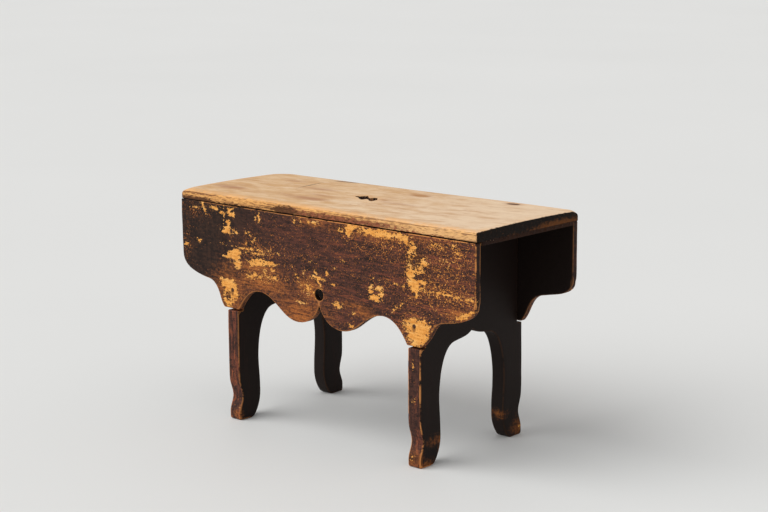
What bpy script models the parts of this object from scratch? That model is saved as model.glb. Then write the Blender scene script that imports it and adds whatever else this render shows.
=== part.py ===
"""Five-board pine stool: a rebated seat on two notched leg boards, with scalloped aprons nailed on."""
import math

import bmesh
import bpy
from mathutils import Matrix, Vector

# Whole stool, in metres. +X runs along the seat, the show side faces -Y and the feet stand on z = 0.
STOOL_HEIGHT = 0.333
STOOL_DEPTH = 0.217
JOINT_GAP = 0.0003

# Seat board: crowned, worn round along its long edges and rebated underneath for the aprons.
SEAT_LENGTH = 0.562
SEAT_EDGE_HEIGHT = 0.0135
SEAT_CROWN = 0.0025
SEAT_ARRIS_RADIUS = 0.005
SEAT_CORNER_RADIUS = 0.009
SEAT_REBATE_DEPTH = 0.0046
KNOT_HOLE_LENGTH = 0.052
KNOT_HOLE_WIDTH = 0.009
KNOT_HOLE_DEPTH = 0.006
KNOT_HOLE_PLACE = (-0.006, -0.007)
KNOT_HOLE_TURN = math.radians(-14)

# Leg boards: an ogee arch parts each one into two feet with scooped ankles.
LEG_SPACING = 0.348
LEG_THICKNESS = 0.022
LEG_POST_WIDTH = 0.0396
LEG_SHOULDER_HEIGHT = 0.1634
LEG_ARCH_RISE = 0.0091
LEG_HAUNCH_DROP = 0.0024
LEG_HAUNCH_WIDTH = 0.0294
LEG_KNEE_HEIGHT = 0.090
LEG_ANKLE_SWELL = 0.0025
LEG_ANKLE_HEIGHT = 0.038
LEG_SCOOP_TOP = 0.061
LEG_SCOOP_HEIGHT = 0.035
LEG_SCOOP_DEPTH = 0.0059
LEG_TOE_HEIGHT = 0.013
LEG_TOE_REACH = 0.0005
LEG_FOOT_LENGTH = 0.027
LEG_KEEL_SLOPE = math.radians(-48)
LEG_HAUNCH_SLOPE = math.radians(-12)
LEG_HEEL_SLOPE = math.radians(-37)
LEG_TOE_SLOPE = math.radians(98)
LEG_CURVE_PULL = 0.305

# Aprons: wings at the ends, tongues over the legs, then arches and two lobes that meet in a cusp.
APRON_LENGTH = 0.557
APRON_THICKNESS = 0.010
APRON_WING_CORNER = 0.071
APRON_WING_RISE = 0.038
APRON_COVE_WIDTH = 0.032
APRON_TONGUE_GAP = 0.0026
APRON_TONGUE_INNER_LAP = 0.0015
APRON_TONGUE_OUTER_LAP = 0.0055
APRON_ARCH_REACH = 0.0435
APRON_ARCH_RISE = 0.0323
APRON_LOBE_SPACING = 0.084
APRON_CUSP_RISE = 0.030
APRON_HOLE_RISE = 0.045
APRON_HOLE_DIAMETER = 0.0155
APRON_CUSP_SLOPE = math.radians(-72)
APRON_TONGUE_INNER_SLOPE = math.radians(-58)
APRON_TONGUE_OUTER_SLOPE = math.radians(47)
APRON_WING_SLOPE = math.radians(10)
APRON_CURVE_PULL = 0.38

# Iron nails, their heads set just below the wood.
NAIL_LENGTH = 0.045
NAIL_SHANK_RADIUS = 0.0014
NAIL_HEAD_RADIUS = 0.0028
NAIL_HEAD_THICKNESS = 0.0012
NAIL_HEAD_CROWN = 0.0005
NAIL_HEAD_SINK = 0.0003
NAIL_POINT_LENGTH = 0.007
NAIL_SIDES = 10
APRON_NAIL_FOOT = 0.030
APRON_NAIL_DROP = 0.037
APRON_NAILS_PER_JOINT = 3
SEAT_NAIL_SPACING = 0.062
SEAT_NAILS_PER_LEG = 3

# Steps along each bend of an outline. An odd count leaves a level strip along the seat's crown.
BEND_STEPS = 9
# Handle lengths as shares of a bend's chord: one draws a quarter circle, the other a parabola.
CIRCLE_PULL = 4 / 3 * math.tan(math.pi / 8) / math.sqrt(2)
PARABOLA_PULL = 1 / 3
# How far a cutter runs past the face that it cuts.
CUT_OVERRUN = 0.004
WELD_DISTANCE = 0.000001
SMOOTH_ANGLE = math.radians(35)

LEVEL = 0.0
UPRIGHT = math.radians(90)
DOWN = math.radians(-90)

half_depth = STOOL_DEPTH / 2
leg_centre = LEG_SPACING / 2
seat_edge_top = STOOL_HEIGHT - SEAT_CROWN
seam_height = seat_edge_top - SEAT_EDGE_HEIGHT
seat_underside = seam_height - SEAT_REBATE_DEPTH
crown_half_width = half_depth - SEAT_ARRIS_RADIUS
apron_inner_face = half_depth - APRON_THICKNESS
tongue_bottom = LEG_SHOULDER_HEIGHT + APRON_TONGUE_GAP


def clear_scene():
    """Start from an empty scene."""
    for old in list(bpy.data.objects):
        bpy.data.objects.remove(old, do_unlink=True)


def new_collection(name):
    """A collection linked into the scene."""
    collection = bpy.data.collections.new(name)
    bpy.context.scene.collection.children.link(collection)
    return collection


def make_finish(name, colour, roughness, metallic=0.0):
    """A plain Principled finish."""
    finish = bpy.data.materials.new(name)
    finish.use_nodes = True
    shader = finish.node_tree.nodes["Principled BSDF"]
    shader.inputs["Base Color"].default_value = (*colour, 1.0)
    shader.inputs["Roughness"].default_value = roughness
    shader.inputs["Metallic"].default_value = metallic
    return finish


class Knot:
    """A point of an outline: where it is, and the direction of the bend that enters and leaves it.

    A side with no direction is straight.
    """

    def __init__(self, across, up, enters=None, leaves=None):
        self.point = Vector((across, up, 0.0))
        self.enters = enters
        self.leaves = leaves

    def mirrored(self):
        """The same point on the other half, where the outline runs the opposite way."""
        enters = None if self.leaves is None else -self.leaves
        leaves = None if self.enters is None else -self.enters
        return Knot(-self.point.x, self.point.y, enters, leaves)


def smooth(across, up, direction):
    """A point that the outline runs through in one direction."""
    return Knot(across, up, direction, direction)


def both_halves(half):
    """A closed outline from its right half, whose first point may lie on the centre line."""
    first_on_axis = half[0].point.x == 0.0
    others = half[1:] if first_on_axis else half
    return half + [knot.mirrored() for knot in reversed(others)]


def handle_end(knot, direction, length):
    """End of a handle that leaves a point along a direction."""
    return knot.point + length * Vector((math.cos(direction), math.sin(direction), 0.0))


def add_outline(curve, knots, pull):
    """Draw a closed outline; each bend's handles are the given share of its chord."""
    spline = curve.splines.new("BEZIER")
    spline.bezier_points.add(len(knots) - 1)
    spline.use_cyclic_u = True
    for index, knot in enumerate(knots):
        before = knots[index - 1]
        after = knots[(index + 1) % len(knots)]
        bezier = spline.bezier_points[index]
        bezier.co = knot.point
        bezier.handle_left_type = "VECTOR" if knot.enters is None else "FREE"
        bezier.handle_right_type = "VECTOR" if knot.leaves is None else "FREE"
        if knot.enters is not None:
            chord = (knot.point - before.point).length
            bezier.handle_left = handle_end(knot, knot.enters, -pull * chord)
        if knot.leaves is not None:
            chord = (after.point - knot.point).length
            bezier.handle_right = handle_end(knot, knot.leaves, pull * chord)


def add_circle(curve, across, up, radius):
    """Draw a circle in four quarters."""
    quarters = [
        smooth(across + radius, up, UPRIGHT),
        smooth(across, up + radius, math.pi),
        smooth(across - radius, up, DOWN),
        smooth(across, up - radius, LEVEL),
    ]
    add_outline(curve, quarters, CIRCLE_PULL)


def flat_curve(name, thickness):
    """An empty filled outline, thick about its own plane."""
    curve = bpy.data.curves.new(name, "CURVE")
    curve.dimensions = "2D"
    curve.fill_mode = "BOTH"
    curve.extrude = thickness / 2
    curve.resolution_u = BEND_STEPS
    return curve


def board_from_curve(name, curve, placement, collection):
    """Turn a filled outline into a closed mesh object at its place."""
    drawn = bpy.data.objects.new(name + "_outline", curve)
    collection.objects.link(drawn)
    drawn.matrix_world = placement
    bpy.context.view_layer.update()
    evaluated = drawn.evaluated_get(bpy.context.evaluated_depsgraph_get())
    mesh = bpy.data.meshes.new_from_object(evaluated)
    weld = bmesh.new()
    weld.from_mesh(mesh)
    bmesh.ops.remove_doubles(weld, verts=weld.verts, dist=WELD_DISTANCE)
    bmesh.ops.recalc_face_normals(weld, faces=weld.faces)
    weld.to_mesh(mesh)
    weld.free()
    board = bpy.data.objects.new(name, mesh)
    collection.objects.link(board)
    board.matrix_world = drawn.matrix_world
    bpy.data.objects.remove(drawn, do_unlink=True)
    bpy.data.curves.remove(curve)
    return board


def across_x(offset):
    """Placement of an outline drawn in the YZ plane and thick along X."""
    stood_up = Matrix.Rotation(UPRIGHT, 4, "Z") @ Matrix.Rotation(UPRIGHT, 4, "X")
    return Matrix.Translation((offset, 0, 0)) @ stood_up


def across_y(offset):
    """Placement of an outline drawn in the XZ plane and thick along Y."""
    return Matrix.Translation((0, offset, 0)) @ Matrix.Rotation(UPRIGHT, 4, "X")


def as_cutter(cutter):
    """Keep a cutting shape out of the finished stool."""
    cutter.hide_render = True
    cutter.display_type = "WIRE"
    return cutter


def cut(board, cutter, operation="DIFFERENCE"):
    """Cut a board with another shape."""
    boolean = board.modifiers.new(cutter.name, "BOOLEAN")
    boolean.operation = operation
    boolean.solver = "EXACT"
    boolean.object = cutter


def finish_board(board, finish, parent):
    """Give a board its finish and join it to the stool."""
    board.data.materials.append(finish)
    board.data.shade_smooth()
    board.data.set_sharp_from_angle(angle=SMOOTH_ANGLE)
    board.parent = parent


def seat_section():
    """Section of the seat: rebates below, round arrises and a crowned upper face."""
    inner = apron_inner_face - JOINT_GAP
    crown_slope = math.atan2(2 * SEAT_CROWN, crown_half_width)
    return both_halves([
        Knot(inner, seat_underside),
        Knot(inner, seam_height),
        Knot(half_depth, seam_height),
        Knot(half_depth, seat_edge_top - SEAT_ARRIS_RADIUS, None, UPRIGHT),
        smooth(crown_half_width, seat_edge_top, math.pi - crown_slope),
    ])


def seat_plan():
    """Plan of the seat with its corners worn round."""
    half_length = SEAT_LENGTH / 2
    corner = SEAT_CORNER_RADIUS
    return both_halves([
        Knot(half_length - corner, -half_depth, None, LEVEL),
        Knot(half_length, corner - half_depth, UPRIGHT, None),
        Knot(half_length, half_depth - corner, None, UPRIGHT),
        Knot(half_length - corner, half_depth, math.pi, None),
    ])


def knot_hole_plan():
    """Plan of the long hole that a lost knot left, pointed at both ends."""
    bend = math.atan2(2 * KNOT_HOLE_WIDTH, KNOT_HOLE_LENGTH)
    half_length = KNOT_HOLE_LENGTH / 2
    return [
        Knot(half_length, 0.0, bend, math.pi - bend),
        Knot(-half_length, 0.0, math.pi + bend, -bend),
    ]


def leg_outline():
    """Outline of a leg board, from the point of its arch down round the foot and up to the seat."""
    post_inner = half_depth - LEG_POST_WIDTH
    toe = half_depth + LEG_TOE_REACH
    notch = apron_inner_face - JOINT_GAP
    haunch_height = LEG_SHOULDER_HEIGHT - LEG_HAUNCH_DROP
    return both_halves([
        Knot(0.0, LEG_SHOULDER_HEIGHT + LEG_ARCH_RISE, -LEG_KEEL_SLOPE, LEG_KEEL_SLOPE),
        smooth(post_inner - LEG_HAUNCH_WIDTH, haunch_height, LEG_HAUNCH_SLOPE),
        smooth(post_inner, LEG_KNEE_HEIGHT, DOWN),
        smooth(post_inner - LEG_ANKLE_SWELL, LEG_ANKLE_HEIGHT, DOWN),
        Knot(toe - LEG_FOOT_LENGTH, 0.0, LEG_HEEL_SLOPE, None),
        Knot(toe, 0.0),
        Knot(toe, LEG_TOE_HEIGHT, None, LEG_TOE_SLOPE),
        smooth(half_depth - LEG_SCOOP_DEPTH, LEG_SCOOP_HEIGHT, UPRIGHT),
        Knot(half_depth, LEG_SCOOP_TOP, UPRIGHT, None),
        Knot(half_depth, LEG_SHOULDER_HEIGHT),
        Knot(notch, LEG_SHOULDER_HEIGHT),
        Knot(notch, seat_underside - JOINT_GAP),
    ])


def apron_outline():
    """Outline of an apron, from the cusp along its scalloped edge and up its end to the seam."""
    half_length = APRON_LENGTH / 2
    tongue_inner = leg_centre - LEG_THICKNESS / 2 - APRON_TONGUE_INNER_LAP
    tongue_outer = leg_centre + LEG_THICKNESS / 2 + APRON_TONGUE_OUTER_LAP
    return both_halves([
        Knot(0.0, tongue_bottom + APRON_CUSP_RISE, -APRON_CUSP_SLOPE, APRON_CUSP_SLOPE),
        smooth(APRON_LOBE_SPACING / 2, tongue_bottom, LEVEL),
        smooth(tongue_inner - APRON_ARCH_REACH, tongue_bottom + APRON_ARCH_RISE, LEVEL),
        Knot(tongue_inner, tongue_bottom, APRON_TONGUE_INNER_SLOPE, None),
        Knot(tongue_outer, tongue_bottom, None, APRON_TONGUE_OUTER_SLOPE),
        smooth(tongue_outer + APRON_COVE_WIDTH, tongue_bottom + APRON_WING_RISE, APRON_WING_SLOPE),
        Knot(half_length, tongue_bottom + APRON_WING_CORNER, UPRIGHT, None),
        Knot(half_length, seam_height - JOINT_GAP),
    ])


def nail_profile():
    """Half section of a nail, its domed head uppermost and set in below the face at zero height."""
    under_head = -NAIL_HEAD_SINK - NAIL_HEAD_THICKNESS
    return [
        (0.0, -NAIL_HEAD_SINK),
        (NAIL_HEAD_RADIUS, -NAIL_HEAD_SINK - NAIL_HEAD_CROWN),
        (NAIL_HEAD_RADIUS, under_head),
        (NAIL_SHANK_RADIUS, under_head),
        (NAIL_SHANK_RADIUS, NAIL_POINT_LENGTH - NAIL_LENGTH),
        (0.0, -NAIL_LENGTH),
    ]


def bore_profile():
    """Half section of the hole that a nail fills, with a gap all round and an open mouth."""
    head = NAIL_HEAD_RADIUS + JOINT_GAP
    shank = NAIL_SHANK_RADIUS + JOINT_GAP
    ledge = -NAIL_HEAD_SINK - NAIL_HEAD_THICKNESS - JOINT_GAP
    return [
        (0.0, CUT_OVERRUN),
        (head, CUT_OVERRUN),
        (head, ledge),
        (shank, ledge),
        (shank, NAIL_POINT_LENGTH - NAIL_LENGTH - JOINT_GAP),
        (0.0, -NAIL_LENGTH - JOINT_GAP),
    ]


def turned_mesh(name, profile, collection):
    """Spin a half section about Z into a closed mesh."""
    section = bpy.data.meshes.new(name + "_section")
    points = [(radius, 0.0, height) for radius, height in profile]
    section.from_pydata(points, [(i, i + 1) for i in range(len(points) - 1)], [])
    spun = bpy.data.objects.new(name + "_section", section)
    collection.objects.link(spun)
    screw = spun.modifiers.new("turn", "SCREW")
    screw.steps = NAIL_SIDES
    screw.render_steps = NAIL_SIDES
    screw.use_merge_vertices = True
    screw.merge_threshold = WELD_DISTANCE
    bpy.context.view_layer.update()
    evaluated = spun.evaluated_get(bpy.context.evaluated_depsgraph_get())
    mesh = bpy.data.meshes.new_from_object(evaluated)
    mesh.name = name
    bpy.data.objects.remove(spun, do_unlink=True)
    bpy.data.meshes.remove(section)
    return mesh


def evenly(first, last, count):
    """Places from first to last, evenly spaced."""
    return [first + (last - first) * i / (count - 1) for i in range(count)]


def nail_places():
    """Name and placement of every nail, its head at the face that it is driven through."""
    places = []
    lowest = LEG_SHOULDER_HEIGHT + APRON_NAIL_FOOT
    highest = seam_height - APRON_NAIL_DROP
    for side, sign in (("left", -1), ("right", 1)):
        for face, facing in (("front", -1), ("rear", 1)):
            turn = Matrix.Rotation(-facing * UPRIGHT, 4, "X")
            heights = evenly(lowest, highest, APRON_NAILS_PER_JOINT)
            for number, height in enumerate(heights, 1):
                spot = Matrix.Translation((sign * leg_centre, facing * half_depth, height))
                places.append((f"{face}_apron_nail_{side}_{number}", spot @ turn))
        rows = evenly(-SEAT_NAIL_SPACING, SEAT_NAIL_SPACING, SEAT_NAILS_PER_LEG)
        for number, row in enumerate(rows, 1):
            spot = Matrix.Translation((sign * leg_centre, row, seat_top_at(row)))
            places.append((f"seat_nail_{side}_{number}", spot))
    return places


def seat_top_at(across):
    """Height of the crowned upper face at a distance from the seat's centre line."""
    return STOOL_HEIGHT - SEAT_CROWN * (across / crown_half_width) ** 2


def join_copies(name, mesh, placements, collection):
    """One object that holds a copy of a mesh at each placement."""
    joined = bmesh.new()
    for placement in placements:
        start = len(joined.verts)
        joined.from_mesh(mesh)
        joined.verts.ensure_lookup_table()
        bmesh.ops.transform(joined, matrix=placement, verts=joined.verts[start:])
    result = bpy.data.meshes.new(name)
    joined.to_mesh(result)
    joined.free()
    copies = bpy.data.objects.new(name, result)
    collection.objects.link(copies)
    return copies


def build_seat(parts, cutters, nail_bores, origin):
    """The seat board, its corners rounded, with the lost knot's hole and the nail bores."""
    section = flat_curve("seat_section", SEAT_LENGTH)
    add_outline(section, seat_section(), PARABOLA_PULL)
    seat = board_from_curve("seat_board", section, across_x(0), parts)
    plan = flat_curve("seat_plan", STOOL_HEIGHT)
    add_outline(plan, seat_plan(), CIRCLE_PULL)
    rounding = board_from_curve("seat_rounding", plan, Matrix.Translation((0, 0, STOOL_HEIGHT)), cutters)
    cut(seat, as_cutter(rounding), "INTERSECT")
    hole = flat_curve("knot_hole_plan", 2 * KNOT_HOLE_DEPTH)
    add_outline(hole, knot_hole_plan(), PARABOLA_PULL)
    spot = Matrix.Translation((*KNOT_HOLE_PLACE, STOOL_HEIGHT)) @ Matrix.Rotation(KNOT_HOLE_TURN, 4, "Z")
    cut(seat, as_cutter(board_from_curve("knot_hole", hole, spot, cutters)))
    cut(seat, nail_bores)
    finish_board(seat, make_finish("worn_pine", (0.62, 0.42, 0.23), 0.62), origin)


def build_leg(name, sign, parts, nail_bores, origin):
    """A leg board with its arch, feet and notches."""
    curve = flat_curve(name, LEG_THICKNESS)
    add_outline(curve, leg_outline(), LEG_CURVE_PULL)
    leg = board_from_curve(name, curve, across_x(sign * leg_centre), parts)
    cut(leg, nail_bores)
    finish_board(leg, make_finish(name + "_paint", (0.035, 0.018, 0.012), 0.45), origin)


def build_apron(name, facing, parts, nail_bores, origin):
    """A scalloped apron, flush with the leg boards' edges."""
    curve = flat_curve(name, APRON_THICKNESS)
    add_outline(curve, apron_outline(), APRON_CURVE_PULL)
    add_circle(curve, 0.0, tongue_bottom + APRON_HOLE_RISE, APRON_HOLE_DIAMETER / 2)
    apron = board_from_curve(name, curve, across_y(facing * (half_depth - APRON_THICKNESS / 2)), parts)
    cut(apron, nail_bores)
    finish_board(apron, make_finish(name + "_paint", (0.075, 0.028, 0.014), 0.40), origin)


def build_nails(places, parts, origin):
    """Every nail at its place, all turned to one shape."""
    mesh = turned_mesh("nail", nail_profile(), parts)
    mesh.materials.append(make_finish("nail_iron", (0.03, 0.025, 0.022), 0.60, 0.8))
    mesh.shade_smooth()
    mesh.set_sharp_from_angle(angle=SMOOTH_ANGLE)
    for name, placement in places:
        nail = bpy.data.objects.new(name, mesh)
        parts.objects.link(nail)
        nail.matrix_world = placement
        nail.parent = origin


def build_stool():
    """Make every piece and set it in place."""
    clear_scene()
    parts = new_collection("folk_stool")
    cutters = new_collection("stool_cutters")
    origin = bpy.data.objects.new("stool_origin", None)
    parts.objects.link(origin)
    places = nail_places()
    bore = turned_mesh("nail_bore", bore_profile(), cutters)
    nail_bores = as_cutter(join_copies("nail_bores", bore, [spot for _, spot in places], cutters))
    bpy.data.meshes.remove(bore)
    build_seat(parts, cutters, nail_bores, origin)
    for name, sign in (("left_leg_board", -1), ("right_leg_board", 1)):
        build_leg(name, sign, parts, nail_bores, origin)
    for name, facing in (("front_apron", -1), ("rear_apron", 1)):
        build_apron(name, facing, parts, nail_bores, origin)
    build_nails(places, parts, origin)


build_stool()
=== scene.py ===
import math

import bmesh
import bpy
import numpy as np
from mathutils import Matrix, Vector, geometry, noise


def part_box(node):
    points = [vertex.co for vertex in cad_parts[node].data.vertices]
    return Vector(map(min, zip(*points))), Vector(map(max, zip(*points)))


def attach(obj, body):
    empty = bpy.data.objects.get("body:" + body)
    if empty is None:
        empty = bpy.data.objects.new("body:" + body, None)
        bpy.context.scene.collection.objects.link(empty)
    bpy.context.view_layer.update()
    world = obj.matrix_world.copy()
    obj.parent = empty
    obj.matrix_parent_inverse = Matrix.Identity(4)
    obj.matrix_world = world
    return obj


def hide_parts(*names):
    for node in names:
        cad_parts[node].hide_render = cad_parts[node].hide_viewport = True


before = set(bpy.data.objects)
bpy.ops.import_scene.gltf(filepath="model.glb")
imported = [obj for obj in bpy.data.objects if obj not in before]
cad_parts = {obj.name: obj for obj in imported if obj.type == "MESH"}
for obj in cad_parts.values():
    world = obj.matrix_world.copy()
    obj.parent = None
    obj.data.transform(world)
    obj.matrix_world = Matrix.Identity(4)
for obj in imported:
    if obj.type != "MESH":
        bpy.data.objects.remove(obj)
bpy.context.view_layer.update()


# Leg boards: two upright pine boards, bow-sawn to an ogee arch over two scooped feet and notched for
# the aprons. The outer edges are painted brown and the rest black; feet and arrises are rubbed to the wood.
# The arrises are also lightened with painted highlight.
WELD = 0.000002
CORNER_TURN = math.radians(25)
EDGE_SPACING = 0.0018
FACE_SPACING = 0.005
ARRIS_STEPS = 4
EDGE_ROWS = (0.25, 0.5, 0.75)
COVER_MARGIN = 0.6
POCKET_TAPER = 0.25
LEG_AXES = (1, 2, 0)
LEG_ARRIS = 0.0012
LEG_ARRIS_VARIES = 0.5
LEG_ARRIS_LENGTH = 0.02
LEG_TOE_WEAR = 0.0005
LEG_TOE_HEIGHT = 0.024
LEG_TOE_EASE = 3
SAW_WANDER = 0.0005
SAW_WANDER_LENGTH = 0.028
FACE_WANDER = 0.0004
FACE_WANDER_LENGTH = 0.07
MILLIMETRES = 1000.0
SEED_STEPS = (7.3, 3.1, 5.9)

scene = bpy.context.scene


def sawn_face(node, axes, side):
    """Outline and round holes of a packed board's flat face."""
    across, up, through = axes
    board = bmesh.new()
    board.from_mesh(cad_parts[node].data)
    bmesh.ops.remove_doubles(board, verts=board.verts, dist=WELD)
    level = side * max(side * vert.co[through] for vert in board.verts)
    flat = {f for f in board.faces if all(abs(v.co[through] - level) < WELD for v in f.verts)}
    rim = {edge for edge in board.edges if sum(face in flat for face in edge.link_faces) == 1}
    loops = []
    while rim:
        edge = rim.pop()
        first, last = edge.verts
        loop = [first]
        while last is not first:
            loop.append(last)
            edge = next(e for e in last.link_edges if e in rim)
            rim.remove(edge)
            last = edge.other_vert(last)
        loops.append(np.array([(v.co[across], v.co[up]) for v in loop]))
    board.free()
    loops.sort(key=lambda loop: np.ptp(loop[:, 0]), reverse=True)
    outline, holes = loops[0], loops[1:]
    following = np.roll(outline, -1, axis=0)
    area = np.sum(outline[:, 0] * following[:, 1] - outline[:, 1] * following[:, 0])
    if area < 0:
        outline = outline[::-1]
    centres = [hole.mean(axis=0) for hole in holes]
    radii = [np.linalg.norm(hole - centre, axis=1).mean() for hole, centre in zip(holes, centres)]
    return outline, list(zip(centres, radii))


def faired(outline):
    """The outline as smooth curves between its corners, with evenly spaced points."""
    before = outline - np.roll(outline, 1, axis=0)
    after = np.roll(outline, -1, axis=0) - outline
    turn = np.arctan2(after[:, 1], after[:, 0]) - np.arctan2(before[:, 1], before[:, 0])
    turn = np.abs((turn + math.pi) % (2 * math.pi) - math.pi)
    corners = np.flatnonzero(turn > CORNER_TURN)
    points = []
    for start, end in zip(corners, np.append(corners[1:], corners[0] + len(outline))):
        stretch = outline[np.arange(start, end + 1) % len(outline)]
        along = np.append(0.0, np.cumsum(np.linalg.norm(np.diff(stretch, axis=0), axis=1)))
        if len(stretch) > 2:
            slope = np.gradient(stretch, along, axis=0)
        else:
            slope = np.broadcast_to(np.diff(stretch, axis=0) / along[-1], stretch.shape)
        for place in np.linspace(0.0, along[-1], max(2, round(along[-1] / EDGE_SPACING)), endpoint=False):
            i = min(np.searchsorted(along, place, side="right"), len(along) - 1) - 1
            step = along[i + 1] - along[i]
            t = (place - along[i]) / step
            points.append(
                (2 * t**3 - 3 * t**2 + 1) * stretch[i] + (t**3 - 2 * t**2 + t) * step * slope[i]
                + (3 * t**2 - 2 * t**3) * stretch[i + 1] + (t**3 - t**2) * step * slope[i + 1]
            )
    return np.clip(eased(np.array(points)), outline.min(axis=0), outline.max(axis=0))


def eased(loop, passes=1):
    """A closed loop with its corners worn off a little."""
    for _ in range(passes):
        loop = (np.roll(loop, 1, axis=0) + 2 * loop + np.roll(loop, -1, axis=0)) / 4
    return loop


def into_wood(loop, hole=False):
    """Unit directions from a loop's points into the wood beside them."""
    along = np.roll(loop, -1, axis=0) - np.roll(loop, 1, axis=0)
    inward = np.stack([-along[:, 1], along[:, 0]], axis=1)
    inward = eased(inward / np.linalg.norm(inward, axis=1)[:, None], 2)
    inward /= np.linalg.norm(inward, axis=1)[:, None]
    return -inward if hole else inward


def ripple(spot, length, seed):
    """Smooth unevenness at a spot, from -1 to 1."""
    return noise.noise(Vector((spot[0] / length, spot[1] / length, seed)))


def hand_sawn(loop, seed, hole=False):
    """A loop that strays from its line into the wood as a bow saw does."""
    stray = [SAW_WANDER * (0.5 + 0.5 * ripple(spot, SAW_WANDER_LENGTH, seed)) for spot in loop]
    return loop + into_wood(loop, hole) * np.array(stray)[:, None]


def uneven(level, side, seed):
    """Height of a planed face that dips a little below a level."""
    def height(spot):
        return level - side * FACE_WANDER * (0.5 + 0.5 * ripple(spot, FACE_WANDER_LENGTH, seed))
    return height


def on_face(loops, spots):
    """Which spots lie inside an outline and outside its holes."""
    across, up = spots[:, :1], spots[:, 1:]
    crossed = 0
    for loop in loops:
        ends = np.roll(loop, -1, axis=0)
        spans = (loop[:, 1] > up) != (ends[:, 1] > up)
        rise = np.where(ends[:, 1] == loop[:, 1], 1.0, ends[:, 1] - loop[:, 1])
        reach = loop[:, 0] + (ends[:, 0] - loop[:, 0]) * (up - loop[:, 1]) / rise
        crossed = crossed + np.sum(spans & (across < reach), axis=1)
    return crossed % 2 == 1


class Timber:
    """A board's surface while it is shaped: points, faces and each point's distance from an arris."""

    def __init__(self):
        self.points = []
        self.from_edge = []
        self.faces = []

    def ring(self, spots, heights, distance):
        """Add a ring of points and give their numbers."""
        start = len(self.points)
        self.points += [(spot[0], spot[1], height) for spot, height in zip(spots, heights)]
        self.from_edge += [distance] * len(spots)
        return list(range(start, len(self.points)))

    def skin(self, rings):
        """Cover the way from each ring to the next."""
        for one, two in zip(rings, rings[1:]):
            for i in range(len(one)):
                j = (i + 1) % len(one)
                self.faces.append((one[i], one[j], two[j], two[i]))

    def arris(self, loop, radii, level, side, hole=False):
        """Rings of a worn arris, from the flat face over to the edge that it meets."""
        radii = np.asarray(radii)
        spots = loop
        moved = 0.0
        rings = []
        for step in range(ARRIS_STEPS + 1):
            turn = math.pi / 2 * step / ARRIS_STEPS
            inset = 1 - math.cos(turn)
            spots = spots + into_wood(spots, hole) * (radii * (inset - moved))[:, None]
            moved = inset
            drops = side * radii * (1 - math.sin(turn))
            rings.append(self.ring(spots, [level(spot) - drop for spot, drop in zip(spots, drops)], 0.0))
        return rings[::-1]

    def edge(self, loop, upper, lower):
        """Rows of points down a sawn edge between its two arrises."""
        top = np.array([self.points[i][2] for i in upper])
        bottom = np.array([self.points[i][2] for i in lower])
        depth = float(np.abs(top - bottom).mean())
        return [
            self.ring(loop, top + (bottom - top) * share, depth * min(share, 1 - share))
            for share in EDGE_ROWS
        ]

    def through(self, loop, radii, top, bottom, hole=False):
        """Rings of an edge from the upper face to the lower one."""
        upper = self.arris(loop, radii, top, 1, hole)
        lower = self.arris(loop, radii, bottom, -1, hole)[::-1]
        rings = upper + self.edge(loop, upper[-1], lower[0]) + lower
        self.skin(rings)
        return rings[0], rings[-1]

    def pocket(self, loop, rim, level, depth, side):
        """A blind hole that narrows as it goes in; gives the ring at its mouth."""
        rings = self.arris(loop, [rim] * len(loop), level, side, True)
        centre = loop.mean(axis=0)
        for share in (0.5, 1.0):
            spots = centre + (loop - centre) * (1 - share * POCKET_TAPER)
            rings.append(self.ring(spots, [level(spot) - side * depth * share for spot in spots], depth))
        self.skin(rings)
        self.cover([rings[-1]], lambda spot: level(spot) - side * depth, depth / 2)
        return rings[0]

    def cover(self, rings, level, spacing):
        """Fill a face between its outline and its holes."""
        numbers = [number for ring in rings for number in ring]
        loops = [np.array([self.points[number][:2] for number in ring]) for ring in rings]
        rim = np.concatenate(loops)
        low, high = rim.min(axis=0), rim.max(axis=0)
        rows = np.arange(low[1] + spacing / 2, high[1], spacing * math.sqrt(3) / 2)
        grid = np.array([
            (across, up)
            for row, up in enumerate(rows)
            for across in np.arange(low[0] + spacing / 2 * (1 + row % 2), high[0], spacing)
        ]).reshape(-1, 2)
        gaps = np.array([np.linalg.norm(rim - spot, axis=1).min() for spot in grid])
        kept = (gaps > COVER_MARGIN * spacing) & on_face(loops, grid)
        inner = grid[kept]
        joins = []
        for loop in loops:
            start = len(joins)
            joins += [(start + i, start + (i + 1) % len(loop)) for i in range(len(loop))]
        spots = [Vector(spot) for spot in np.concatenate([rim, inner])]
        flat, _, triangles, sources, _, _ = geometry.delaunay_2d_cdt(spots, joins, [], 1, WELD / 10)
        middles = np.array([sum((flat[i] for i in triangle), Vector((0, 0))) / 3 for triangle in triangles])
        triangles = [t for t, good in zip(triangles, on_face(loops, middles)) if good]
        first = len(self.points)
        self.points += [(spot[0], spot[1], level(spot)) for spot in inner]
        self.from_edge += gaps[kept].tolist()
        numbers += range(first, len(self.points))
        self.faces += [tuple(numbers[sources[i][0]] for i in triangle) for triangle in triangles]

    def piece(self, name, axes):
        """The finished piece, welded and closed, in the stool's frame."""
        mesh = bpy.data.meshes.new(name)
        order = [axes.index(axis) for axis in range(3)]
        mesh.from_pydata([tuple(point[i] for i in order) for point in self.points], [], self.faces)
        gaps = mesh.attributes.new("from_edge", "FLOAT", "POINT")
        gaps.data.foreach_set("value", self.from_edge)
        shape = bmesh.new()
        shape.from_mesh(mesh)
        bmesh.ops.remove_doubles(shape, verts=shape.verts, dist=WELD)
        bmesh.ops.dissolve_degenerate(shape, edges=shape.edges, dist=WELD)
        bmesh.ops.recalc_face_normals(shape, faces=shape.faces)
        shape.to_mesh(mesh)
        shape.free()
        mesh.shade_smooth()
        made = bpy.data.objects.new(name, mesh)
        scene.collection.objects.link(made)
        return made


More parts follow.
